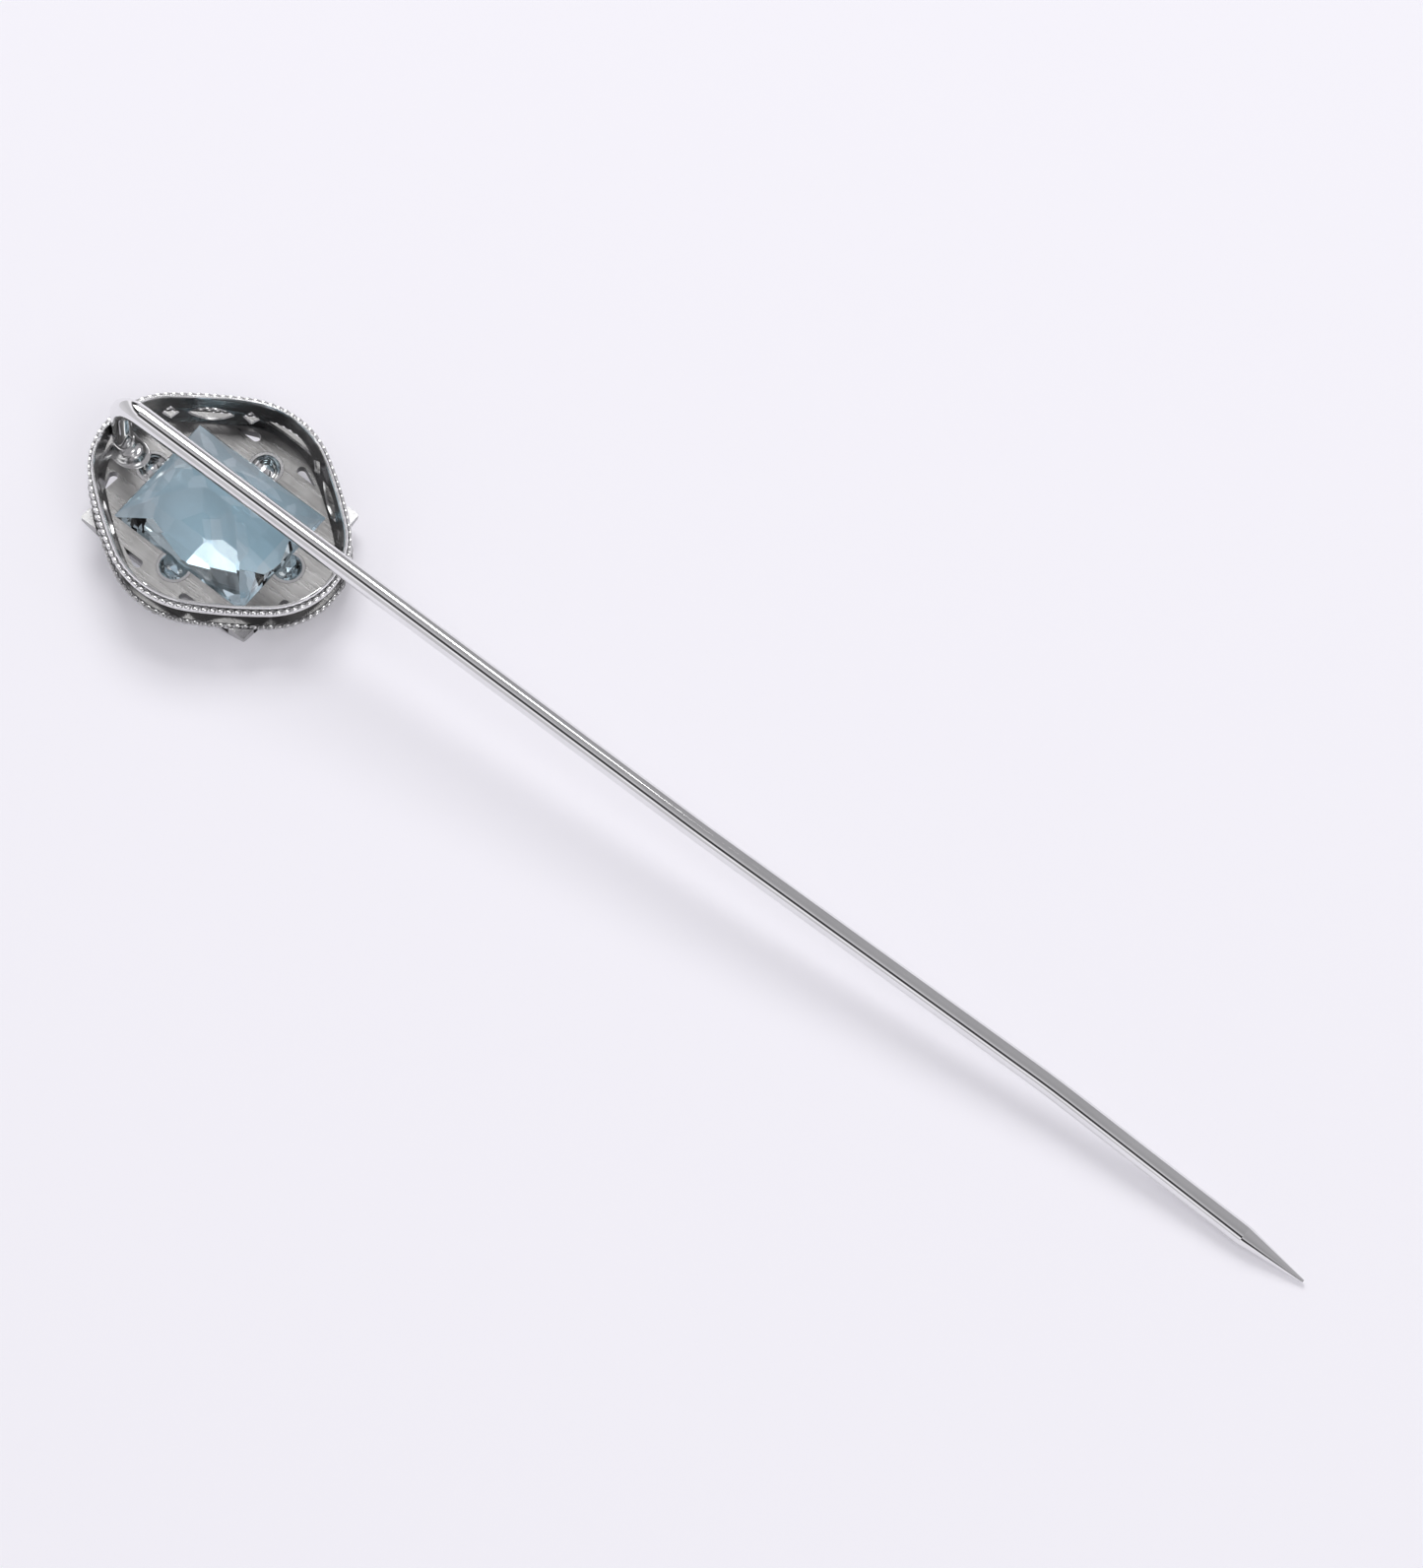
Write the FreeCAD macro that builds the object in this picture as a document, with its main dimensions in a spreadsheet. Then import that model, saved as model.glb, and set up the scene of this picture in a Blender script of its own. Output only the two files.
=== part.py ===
import FreeCAD, Part
import Sketcher
import math
import os

# Hat pin with a rectangular stone in a rounded lozenge gallery, lying face down.
# The head is drawn in its own axes: X runs along the stem to the point, Y across
# the head, Z out of the back.  Level zero is the back face of the gallery plate.
# Every piece is then laid down in the resting pose by one shared placement.

SIZES = [
    ("stone_half_length", "3.68"),
    ("stone_half_width", "2.96"),
    ("end_margin", "2.55"),
    ("side_margin", "2.27"),
    ("end_radius", "3.4"),
    ("side_radius", "4.14"),
    ("flank_radius", "20.4"),
    ("stem_length", "59"),
    ("stem_diameter", "0.96"),
    ("stem_height", "4.354"),
    ("post_gap", "0.07"),
    ("elbow_radius", "1.25"),
    ("gallery_height", "1.52"),
    ("gallery_wall", "0.15"),
    ("foot_grow", "-0.28"),
    ("groove_level", "0.85"),
    ("groove_grow", "0"),
    ("crease_foot_grow", "-0.4"),
    ("crease_height", "0.25"),
    ("crease_grow", "-0.3"),
    ("waist_grow", "-0.12"),
    ("window_reach", "1.3"),
    ("window_lap", "0.1"),
    ("leaf_length", "2.15"),
    ("leaf_height", "0.78"),
    ("diamond_side", "0.56"),
    ("diamond_spacing", "1.83"),
    ("slit_length", "2.8"),
    ("slit_height", "0.52"),
    ("rim_height", "0.17"),
    ("rim_bevel_height", "0.06"),
    ("rim_bevel", "0.04"),
    ("back_bead_radius", "0.11"),
    ("shoulder_swell", "0.14"),
    ("shoulder_lip", "0.03"),
    ("shoulder_step", "0.1"),
    ("shoulder_height", "0.29"),
    ("front_bead_level", "-0.02"),
    ("front_bead_radius", "0.13"),
    ("plate_thickness", "0.45"),
    ("teardrop_end_radius", "0.22"),
    ("teardrop_length", "1.25"),
    ("side_drop_inset", "1.11"),
    ("side_drop_gap", "0.3"),
    ("side_drop_turn", "-12"),
    ("end_drop_inset", "1.22"),
    ("end_drop_gap", "0.46"),
    ("end_drop_turn", "97"),
    ("frame_margin", "1.08"),
    ("frame_thickness", "0.38"),
    ("frame_bevel", "0.14"),
    ("horn_level", "0.08"),
    ("horn_foot_reach", "5.35"),
    ("horn_foot_level", "-0.7"),
    ("horn_top_reach", "6.2"),
    ("horn_edge_level", "-0.2"),
    ("cup_radius", "0.82"),
    ("cup_wall", "0.13"),
    ("cup_level", "-0.15"),
    ("cup_setback", "0.24"),
    ("claw_radius", "0.4"),
    ("claw_tip_radius", "0.26"),
    ("claw_height", "0.3"),
    ("girdle_drop", "0.1"),
    ("girdle_thickness", "0.12"),
    ("seat_slope", "0.5"),
    ("belly_level", "0.15"),
    ("belly_slope", "1.1"),
    ("keel_start_level", "1.15"),
    ("keel_height", "1.05"),
    ("keel_half_width", "0.03"),
    ("crown_step_height", "0.3"),
    ("crown_step_slope", "1.1"),
    ("crown_height", "0.71"),
    ("crown_slope", "3.1"),
    ("fit_gap", "0.015"),
    ("taper_length", "3.1"),
    ("point_radius", "0.08"),
    ("bow", "0.29"),
    ("bow_start", "27"),
    ("bow_peak", "45.5"),
    ("bow_start_radius", "120"),
    ("bow_peak_radius", "60"),
    ("solder_width", "0.3"),
    ("solder_height", "0.5"),
    ("rest_shift", "0"),
]

DERIVED = [
    ("head_half_length", "=stone_half_length + end_margin"),
    ("head_half_width", "=stone_half_width + side_margin"),
    ("stem_radius", "=stem_diameter / 2"),
    ("post_offset", "=head_half_length - stem_radius - post_gap"),
    ("end_centre", "=head_half_length - end_radius"),
    ("side_centre", "=head_half_width - side_radius"),
    ("end_reach", "=flank_radius - end_radius"),
    ("side_reach", "=flank_radius - side_radius"),
    ("centre_span", "=sqrt(end_centre ^ 2 + side_centre ^ 2)"),
    ("centre_step", "=(end_reach ^ 2 - side_reach ^ 2 + centre_span ^ 2) / (2 * centre_span)"),
    ("centre_rise", "=sqrt(end_reach ^ 2 - centre_step ^ 2)"),
    ("flank_along", "=end_centre * (1 - centre_step / centre_span)"
                    " - side_centre * centre_rise / centre_span"),
    ("flank_across", "=(side_centre * centre_step - end_centre * centre_rise) / centre_span"),
    ("end_sweep", "=atan2(-flank_across; end_centre - flank_along)"),
    ("side_sweep", "=atan2(side_centre - flank_across; -flank_along)"),
    ("flank_angle", "=(end_sweep + side_sweep) / 2"),
    ("rim_bevel_level", "=gallery_height + rim_height - rim_bevel_height"),
    ("rim_top_level", "=gallery_height + rim_height"),
    ("rim_outer_bevel", "=gallery_wall - rim_bevel"),
    ("back_bead_level", "=gallery_height - back_bead_radius"),
    ("back_bead_grow", "=gallery_wall + back_bead_radius"),
    ("front_bead_grow", "=gallery_wall + front_bead_radius"),
    ("bead_clear_grow", "=gallery_wall + 2 * front_bead_radius + fit_gap"),
    ("shoulder_bottom", "=back_bead_level - back_bead_radius - shoulder_height"),
    ("window_level", "=groove_level + window_lap - leaf_height / 2"),
    ("shoulder_grow", "=gallery_wall + shoulder_swell"),
    ("shoulder_edge_grow", "=gallery_wall + shoulder_lip"),
    ("shoulder_low_level", "=shoulder_bottom + shoulder_step"),
    ("shoulder_high_level", "=shoulder_bottom + shoulder_height - shoulder_step"),
    ("shoulder_top", "=shoulder_bottom + shoulder_height"),
    ("side_drop_along", "=cup_radius + teardrop_end_radius + side_drop_gap"),
    ("side_drop_across", "=head_half_width - side_drop_inset"),
    ("end_drop_across", "=cup_radius + teardrop_end_radius + end_drop_gap"),
    ("end_drop_along", "=head_half_length - end_drop_inset"),
    ("frame_back", "=-plate_thickness"),
    ("frame_front", "=-plate_thickness - frame_thickness"),
    ("frame_front_grow", "=frame_margin - frame_bevel"),
    ("girdle_level", "=-plate_thickness - girdle_drop"),
    ("girdle_grow", "=-girdle_level * seat_slope"),
    ("girdle_front", "=girdle_level - girdle_thickness"),
    ("belly_grow", "=-belly_level * seat_slope"),
    ("keel_start_grow", "=belly_grow - (keel_start_level - belly_level) * belly_slope"),
    ("keel_grow", "=keel_half_width - stone_half_width"),
    ("keel_level", "=keel_start_level + keel_height"),
    ("crown_step_level", "=girdle_front - crown_step_height"),
    ("crown_step_grow", "=girdle_grow - crown_step_height * crown_step_slope"),
    ("table_level", "=girdle_front - crown_height"),
    ("table_grow", "=crown_step_grow - (crown_height - crown_step_height) * crown_slope"),
    ("table_half_length", "=stone_half_length + table_grow"),
    ("elbow_end", "=elbow_radius - post_offset"),
    ("post_height", "=stem_height - elbow_radius"),
    ("solder_radius", "=stem_radius + solder_width"),
    ("bow_out_angle", "=atan(bow / (bow_peak - bow_start))"),
    ("bow_in_angle", "=atan(bow / (stem_length - bow_peak))"),
    ("first_bend", "=bow_start_radius * tan(bow_out_angle / 2)"),
    ("second_bend", "=bow_peak_radius * tan((bow_out_angle + bow_in_angle) / 2)"),
    ("bow_run", "=sqrt((bow_peak - bow_start) ^ 2 + bow ^ 2) - first_bend - second_bend"),
    ("taper_start", "=stem_length - taper_length"),
    ("taper_across", "=taper_length * tan(bow_in_angle)"),
    ("rest_drop", "=stem_height - stem_radius - table_level"),
    ("rest_angle", "=atan(rest_drop / (taper_start - table_half_length))"),
    ("rest_rise", "=table_half_length * sin(rest_angle) - table_level * cos(rest_angle)"),
]

X_AXIS = FreeCAD.Vector(1, 0, 0)
Y_AXIS = FreeCAD.Vector(0, 1, 0)
Z_AXIS = FreeCAD.Vector(0, 0, 1)
START, END, CENTRE = 1, 2, 3
ORIGIN, ALONG, ACROSS = -1, -1, -2

doc = FreeCAD.newDocument("hat_pin")
sheet = doc.addObject("Spreadsheet::Sheet", "Sizes")


def fill_sheet():
    """Write every size and every derived size under its own alias."""
    for row, (name, text) in enumerate(SIZES + DERIVED, start=1):
        sheet.set("A%d" % row, name)
        sheet.set("B%d" % row, text)
        sheet.setAlias("B%d" % row, name)
    doc.recompute()


def value(name):
    """Present value of one alias: a length in millimetres or an angle in degrees."""
    number = getattr(sheet, name)
    return float(getattr(number, "Value", number))


def size(name, sign=""):
    """Formula that reads one alias, with a sign in front when asked."""
    return "%sSizes.%s" % (sign, name)


def place(thing, x="0", y="0", z="0", axis="0; 0; 1", angle="0"):
    """Place one object by formulas for its position and its turn about an axis."""
    spot = "create(<<vector>>; %s; %s; %s)" % (x, y, z)
    spin = "create(<<rotation>>; create(<<vector>>; %s); %s)" % (axis, angle)
    thing.setExpression("Placement", "create(<<placement>>; %s; %s)" % (spot, spin))
    return thing


def bind(thing, **formulas):
    """Tie properties of one object to formulas on the sheet."""
    for name, formula in formulas.items():
        thing.setExpression(name, formula)
    return thing


# ---------------------------------------------------------------- outlines

def hold(sketch, kind, *numbers, formula):
    """Add one measured constraint and tie it to a formula."""
    index = sketch.addConstraint(Sketcher.Constraint(kind, *numbers))
    sketch.setExpression("Constraints[%d]" % index, formula)


def lozenge(name, level="0", grow=None):
    """Outline of the head in eight tangent arcs, grown by one alias, at a level."""
    extra = value(grow) if grow else 0.0
    more = " + " + size(grow) if grow else ""
    end_x, side_y = value("end_centre"), value("side_centre")
    flank_x, flank_y = value("flank_along"), value("flank_across")
    low, high = math.radians(value("end_sweep")), math.radians(value("side_sweep"))
    half, full = math.pi, 2 * math.pi
    arcs = [
        (end_x, 0, "end_radius", -low, low),
        (flank_x, flank_y, "flank_radius", low, high),
        (0, side_y, "side_radius", high, half - high),
        (-flank_x, flank_y, "flank_radius", half - high, half - low),
        (-end_x, 0, "end_radius", half - low, half + low),
        (-flank_x, -flank_y, "flank_radius", half + low, half + high),
        (0, -side_y, "side_radius", half + high, full - high),
        (flank_x, -flank_y, "flank_radius", full - high, full - low),
    ]
    sketch = doc.addObject("Sketcher::SketchObject", name)
    for x, y, radius, start, end in arcs:
        circle = Part.Circle(FreeCAD.Vector(x, y, 0), Z_AXIS, value(radius) + extra)
        sketch.addGeometry(Part.ArcOfCircle(circle, start, end), False)
    for index in range(8):
        following = (index + 1) % 8
        sketch.addConstraint(Sketcher.Constraint("Tangent", index, END, following, START))
    for index, axis in ((0, ALONG), (4, ALONG), (2, ACROSS), (6, ACROSS)):
        sketch.addConstraint(Sketcher.Constraint("PointOnObject", index, CENTRE, axis))
    for index, sign in ((0, 1), (4, -1)):
        hold(sketch, "DistanceX", ORIGIN, START, index, CENTRE, sign * end_x,
             formula="%d * Sizes.end_centre" % sign)
    for index, sign in ((2, 1), (6, -1)):
        hold(sketch, "DistanceY", ORIGIN, START, index, CENTRE, sign * side_y,
             formula="%d * Sizes.side_centre" % sign)
    for index, arc in enumerate(arcs):
        hold(sketch, "Radius", index, value(arc[2]) + extra, formula=size(arc[2]) + more)
    return place(sketch, z=level)


def teardrop_outline(name):
    """Outline of a teardrop opening: a round fat end and two lines to a point."""
    radius = value("teardrop_end_radius")
    reach = value("teardrop_length") - radius
    lean = math.acos(radius / reach)
    touch = FreeCAD.Vector(radius * math.cos(lean), radius * math.sin(lean), 0)
    mirror = FreeCAD.Vector(touch.x, -touch.y, 0)
    tip = FreeCAD.Vector(reach, 0, 0)
    sketch = doc.addObject("Sketcher::SketchObject", name)
    circle = Part.Circle(FreeCAD.Vector(), Z_AXIS, radius)
    sketch.addGeometry(Part.ArcOfCircle(circle, lean, 2 * math.pi - lean), False)
    sketch.addGeometry(Part.LineSegment(mirror, tip), False)
    sketch.addGeometry(Part.LineSegment(tip, touch), False)
    sketch.addConstraint(Sketcher.Constraint("Tangent", 0, END, 1, START))
    sketch.addConstraint(Sketcher.Constraint("Tangent", 2, END, 0, START))
    sketch.addConstraint(Sketcher.Constraint("Coincident", 1, END, 2, START))
    sketch.addConstraint(Sketcher.Constraint("Coincident", 0, CENTRE, ORIGIN, START))
    sketch.addConstraint(Sketcher.Constraint("PointOnObject", 1, END, ALONG))
    hold(sketch, "Radius", 0, radius, formula=size("teardrop_end_radius"))
    hold(sketch, "DistanceX", ORIGIN, START, 1, END, reach,
         formula="Sizes.teardrop_length - Sizes.teardrop_end_radius")
    return sketch


def shaft_path(name):
    """Path of the shaft: three straight runs joined by two long gentle bends."""
    out, back = math.radians(value("bow_out_angle")), math.radians(value("bow_in_angle"))
    first_x = value("bow_start") - value("first_bend")
    radius, turn_radius = value("bow_start_radius"), value("bow_peak_radius")
    bend_end = FreeCAD.Vector(first_x + radius * math.sin(out), radius * (1 - math.cos(out)), 0)
    run = FreeCAD.Vector(math.cos(out), math.sin(out), 0) * value("bow_run")
    peak = bend_end + run
    turn_centre = peak + FreeCAD.Vector(math.sin(out), -math.cos(out), 0) * turn_radius
    peak_end = turn_centre + FreeCAD.Vector(math.sin(back), math.cos(back), 0) * turn_radius
    finish = FreeCAD.Vector(value("taper_start"), value("taper_across"), 0)
    quarter = math.pi / 2
    bend = Part.Circle(FreeCAD.Vector(first_x, radius, 0), Z_AXIS, radius)
    turn = Part.Circle(turn_centre, Z_AXIS, turn_radius)
    start = FreeCAD.Vector(value("elbow_end"), 0, 0)
    sketch = doc.addObject("Sketcher::SketchObject", name)
    sketch.addGeometry(Part.LineSegment(start, FreeCAD.Vector(first_x, 0, 0)), False)
    sketch.addGeometry(Part.ArcOfCircle(bend, -quarter, -quarter + out), False)
    sketch.addGeometry(Part.LineSegment(bend_end, peak), False)
    sketch.addGeometry(Part.ArcOfCircle(turn, quarter - back, quarter + out), False)
    sketch.addGeometry(Part.LineSegment(peak_end, finish), False)
    sketch.addConstraint(Sketcher.Constraint("PointOnObject", 0, START, ALONG))
    sketch.addConstraint(Sketcher.Constraint("PointOnObject", 0, END, ALONG))
    sketch.addConstraint(Sketcher.Constraint("Tangent", 0, END, 1, START))
    sketch.addConstraint(Sketcher.Constraint("Tangent", 1, END, 2, START))
    sketch.addConstraint(Sketcher.Constraint("Tangent", 2, END, 3, END))
    sketch.addConstraint(Sketcher.Constraint("Tangent", 3, START, 4, START))
    hold(sketch, "DistanceX", ORIGIN, START, 0, START, start.x, formula=size("elbow_end"))
    hold(sketch, "DistanceX", ORIGIN, START, 0, END, first_x,
         formula="Sizes.bow_start - Sizes.first_bend")
    hold(sketch, "Radius", 1, radius, formula=size("bow_start_radius"))
    hold(sketch, "Radius", 3, turn_radius, formula=size("bow_peak_radius"))
    hold(sketch, "Angle", 2, out, formula=size("bow_out_angle"))
    hold(sketch, "Distance", 2, value("bow_run"), formula=size("bow_run"))
    hold(sketch, "DistanceX", ORIGIN, START, 4, END, finish.x, formula=size("taper_start"))
    hold(sketch, "DistanceY", ORIGIN, START, 4, END, finish.y, formula=size("taper_across"))
    return place(sketch, z=size("stem_height"))


# ---------------------------------------------------------------- solids

def raised(name, outline, height):
    """Solid standing on one outline."""
    solid = doc.addObject("Part::Extrusion", name)
    solid.Base = outline
    solid.DirMode = "Custom"
    solid.Dir = Z_AXIS
    solid.Solid = True
    return bind(solid, LengthFwd=height)


def lofted(name, outlines):
    """Solid with straight flanks through a stack of outlines."""
    solid = doc.addObject("Part::Loft", name)
    solid.Sections = outlines
    solid.Solid = True
    solid.Ruled = True
    return solid


def swept(name, profile, path):
    """Solid left by one profile carried along a path."""
    solid = doc.addObject("Part::Sweep", name)
    solid.Sections = [profile]
    solid.Spine = (path, [])
    solid.Solid = True
    return solid


def ring_profile(name, radius):
    """Round profile set square to the head's long axis."""
    return bind(doc.addObject("Part::Circle", name), Radius=radius)


def cut(name, base, tool):
    """First piece less the second."""
    result = doc.addObject("Part::Cut", name)
    result.Base = base
    result.Tool = tool
    return result


def joined(name, pieces):
    """Union of several pieces."""
    result = doc.addObject("Part::MultiFuse", name)
    result.Shapes = pieces
    return result


def shared(name, pieces):
    """Volume that all the pieces have in common."""
    result = doc.addObject("Part::MultiCommon", name)
    result.Shapes = pieces
    return result


def mirrored(name, source, normal):
    """Source seen across a plane through the head centre."""
    result = doc.addObject("Part::Mirroring", name)
    result.Source = source
    result.Normal = normal
    return result


def four_fold(name, source):
    """Source repeated in all four quarters of the head."""
    pair = joined(name + "_pair", [source, mirrored(name + "_across", source, X_AXIS)])
    return joined(name, [pair, mirrored(name + "_along", pair, Y_AXIS)])


def two_fold(name, source, normal):
    """Source and its reflection."""
    return joined(name, [source, mirrored(name + "_copy", source, normal)])


def frustum(name, low_grow, high_grow, low_level, high_level):
    """Rectangle round the stone at one level run to another rectangle at the next."""
    solid = doc.addObject("Part::Wedge", name)
    for side, half in (("X", "stone_half_length"), ("Z", "stone_half_width")):
        for mark, grow in (("", low_grow), ("2", high_grow)):
            reach = "(Sizes.%s + %s)" % (half, grow)
            solid.setExpression(side + mark + "min", "-" + reach)
            solid.setExpression(side + mark + "max", reach)
    bind(solid, Ymin=low_level, Ymax=high_level)
    return place(solid, axis="1; 0; 0", angle="90")


def stone_body(name, gap="0"):
    """Step-cut stone of six steps from table to keel, swollen all over by a gap."""
    steps = [
        ("crown", "table_grow", "crown_step_grow", "table_level", "crown_step_level"),
        ("step", "crown_step_grow", "girdle_grow", "crown_step_level", "girdle_front"),
        ("girdle", "girdle_grow", "girdle_grow", "girdle_front", "girdle_level"),
        ("seat", "girdle_grow", "belly_grow", "girdle_level", "belly_level"),
        ("belly", "belly_grow", "keel_start_grow", "belly_level", "keel_start_level"),
        ("keel", "keel_start_grow", "keel_grow", "keel_start_level", "keel_level"),
    ]
    blocks = []
    for part, low_grow, high_grow, low_level, high_level in steps:
        block = frustum("%s_%s" % (name, part), "%s + %s" % (size(low_grow), gap),
                        "%s + %s" % (size(high_grow), gap), size(low_level), size(high_level))
        blocks.append(block)
    return joined(name, blocks)


def leaf(name, length, height, level="0"):
    """Pointed oval bar along X, centred on a level."""
    radius = "(%s ^ 2 + %s ^ 2) / (4 * %s)" % (length, height, height)
    rods = []
    for side, sign in (("low", 1), ("high", -1)):
        rod = doc.addObject("Part::Cylinder", "%s_%s" % (name, side))
        bind(rod, Radius=radius, Height=size("window_reach"))
        rise = "%s + %d * (%s - %s / 2)" % (level, sign, radius, height)
        place(rod, x="-Sizes.window_reach / 2", z=rise, axis="0; 1; 0", angle="90")
        rods.append(rod)
    return shared(name, rods)


def diamond(name, sign):
    """Square bar along X standing on its corner, to one side of the leaf."""
    bar = doc.addObject("Part::Box", name)
    side = size("diamond_side")
    bind(bar, Length=size("window_reach"), Width=side, Height=side)
    across = "%d * Sizes.diamond_spacing" % sign
    return place(bar, x="-Sizes.window_reach / 2", y=across, z="-%s / sqrt(2)" % side,
                 axis="1; 0; 0", angle="45")


def windows():
    """All the openings through the gallery wall."""
    window = joined("flank_window", [
        leaf("flank_leaf", size("leaf_length"), size("leaf_height")),
        diamond("left_diamond", -1), diamond("right_diamond", 1)])
    reach = size("flank_radius")
    place(window, x="Sizes.flank_along + %s * cos(Sizes.flank_angle)" % reach,
          y="Sizes.flank_across + %s * sin(Sizes.flank_angle)" % reach,
          z=size("window_level"), angle=size("flank_angle"))
    end_slit = leaf("end_slit", size("slit_length"), size("slit_height"))
    place(end_slit, x=size("head_half_length"), z=size("window_level"))
    side_slit = leaf("side_slit", size("slit_length"), size("slit_height"))
    place(side_slit, y=size("head_half_width"), z=size("window_level"), angle="90")
    return joined("wall_windows", [
        four_fold("flank_windows", window), two_fold("end_slits", end_slit, X_AXIS),
        two_fold("side_slits", side_slit, Y_AXIS)])


def teardrops():
    """Eight teardrop bars, one pair beside each cup, through plate and frame."""
    bars = []
    for name in ("side", "end"):
        outline = teardrop_outline(name + "_teardrop_outline")
        place(outline, x=size(name + "_drop_along"), y=size(name + "_drop_across"), z="-2",
              angle=size(name + "_drop_turn"))
        bars.append(raised(name + "_teardrop", outline, "3"))
    return four_fold("teardrops", joined("quarter_teardrops", bars))


def ball(name, radius, x="0", y="0"):
    """Sphere on the level of the cup centres."""
    solid = bind(doc.addObject("Part::Sphere", name), Radius=radius)
    return place(solid, x=x, y=y, z=size("cup_level"))


def cup_spots():
    """Name and centre of the cup at the middle of each stone side."""
    along = "(Sizes.stone_half_length + Sizes.cup_setback)"
    across = "(Sizes.stone_half_width + Sizes.cup_setback)"
    return [("point_side", along, "0"), ("elbow_side", "-" + along, "0"),
            ("left_side", "0", across), ("right_side", "0", "-" + across)]


def claw_spots():
    """Name and centre of the claw on each stone corner."""
    along = "(Sizes.stone_half_length + Sizes.girdle_grow)"
    across = "(Sizes.stone_half_width + Sizes.girdle_grow)"
    return [("point_left", along, across), ("point_right", along, "-" + across),
            ("elbow_left", "-" + along, across), ("elbow_right", "-" + along, "-" + across)]


# ---------------------------------------------------------------- pieces

def gallery_void(name):
    """Space inside the gallery wall, drawn in towards the plate."""
    return lofted(name, [
        lozenge(name + "_foot", grow="crease_foot_grow"),
        lozenge(name + "_crease", size("crease_height"), "crease_grow"),
        lozenge(name + "_waist", size("groove_level"), "waist_grow"),
        lozenge(name + "_top", size("gallery_height"))])


def post_space(name):
    """Round space that the post takes up, with its fit all round."""
    space = bind(doc.addObject("Part::Cylinder", name), Height=size("gallery_height"),
                 Radius="Sizes.stem_radius + Sizes.fit_gap")
    return place(space, x=size("post_offset", "-"))


def gallery_band():
    """Wall of the gallery, drawn in to a groove below its shoulder, with its openings."""
    outer = lofted("band_outer", [
        lozenge("band_foot", grow="foot_grow"),
        lozenge("band_groove", size("groove_level"), "groove_grow"),
        lozenge("band_shoulder", size("shoulder_bottom"), "gallery_wall"),
        lozenge("band_top", size("gallery_height"), "gallery_wall")])
    ring = cut("band_ring", outer, gallery_void("band_void"))
    return cut("gallery_band", ring, joined("band_openings", [windows(), post_space("notch")]))


def back_rim():
    """Polished edge round the open back of the gallery, bevelled on both sides."""
    outer = lofted("rim_outer", [
        lozenge("rim_outer_foot", size("gallery_height"), "gallery_wall"),
        lozenge("rim_outer_shoulder", size("rim_bevel_level"), "gallery_wall"),
        lozenge("rim_outer_top", size("rim_top_level"), "rim_outer_bevel")])
    inner = lofted("rim_inner", [
        lozenge("rim_inner_foot", size("gallery_height")),
        lozenge("rim_inner_shoulder", size("rim_bevel_level")),
        lozenge("rim_inner_top", size("rim_top_level"), "rim_bevel")])
    return cut("back_rim", outer, inner)


def shoulder_band():
    """Swelled band round the outside of the wall, below the back beading."""
    outer = lofted("shoulder_outer", [
        lozenge("shoulder_foot", size("shoulder_bottom"), "shoulder_edge_grow"),
        lozenge("shoulder_low", size("shoulder_low_level"), "shoulder_grow"),
        lozenge("shoulder_high", size("shoulder_high_level"), "shoulder_grow"),
        lozenge("shoulder_head", size("shoulder_top"), "shoulder_edge_grow")])
    inner = raised("shoulder_inner",
                   lozenge("shoulder_inner_outline", size("shoulder_bottom"), "gallery_wall"),
                   size("shoulder_height"))
    return cut("shoulder_band", outer, inner)


def milgrain(name, grow, level, radius):
    """Round beading wire bent round the outside of the gallery."""
    profile = ring_profile(name + "_profile", size(radius))
    place(profile, x="Sizes.head_half_length + " + size(grow), z=size(level),
          axis="1; 0; 0", angle="90")
    return swept(name, profile, lozenge(name + "_path", size(level), grow))


def gallery_plate(drops, hole, balls):
    """Pierced plate across the gallery, with the sloped seat for the stone."""
    sheet_metal = raised("plate_blank",
                         lozenge("plate_outline", size("frame_back"), "gallery_wall"),
                         size("plate_thickness"))
    return cut("gallery_plate", sheet_metal, joined("plate_openings", [drops, hole, balls]))


def stone_frame(drops, balls):
    """Rectangular frame in front of the plate; its corners rise outside the gallery."""
    body = frustum("frame_body", size("frame_margin"), size("frame_margin"),
                   "Sizes.frame_front + Sizes.frame_bevel", size("horn_level"))
    front = frustum("frame_front_bevel", size("frame_front_grow"), size("frame_margin"),
                    size("frame_front"), "Sizes.frame_front + Sizes.frame_bevel")
    foot = bind(doc.addObject("Part::Cylinder", "horn_foot"), Radius=size("horn_foot_reach"),
                Height="Sizes.horn_foot_level - Sizes.frame_front")
    place(foot, z=size("frame_front"))
    slope = bind(doc.addObject("Part::Cone", "horn_slope"), Radius1=size("horn_foot_reach"),
                 Radius2=size("horn_top_reach"),
                 Height="Sizes.horn_edge_level - Sizes.horn_foot_level")
    place(slope, z=size("horn_foot_level"))
    edge = bind(doc.addObject("Part::Cylinder", "horn_edge"), Radius=size("horn_top_reach"),
                Height="Sizes.horn_level - Sizes.horn_edge_level")
    place(edge, z=size("horn_edge_level"))
    block = shared("frame_block", [joined("frame_blank", [body, front]),
                                   joined("horn_shape", [foot, slope, edge])])
    tray = raised("frame_tray", lozenge("frame_tray_outline", size("frame_back"),
                                        "bead_clear_grow"), "2")
    hole = frustum("frame_hole", "Sizes.girdle_grow + Sizes.fit_gap",
                   "Sizes.girdle_grow + Sizes.fit_gap", "-2", "2")
    return cut("stone_frame", block, joined("frame_openings", [tray, hole, drops, balls]))


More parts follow.
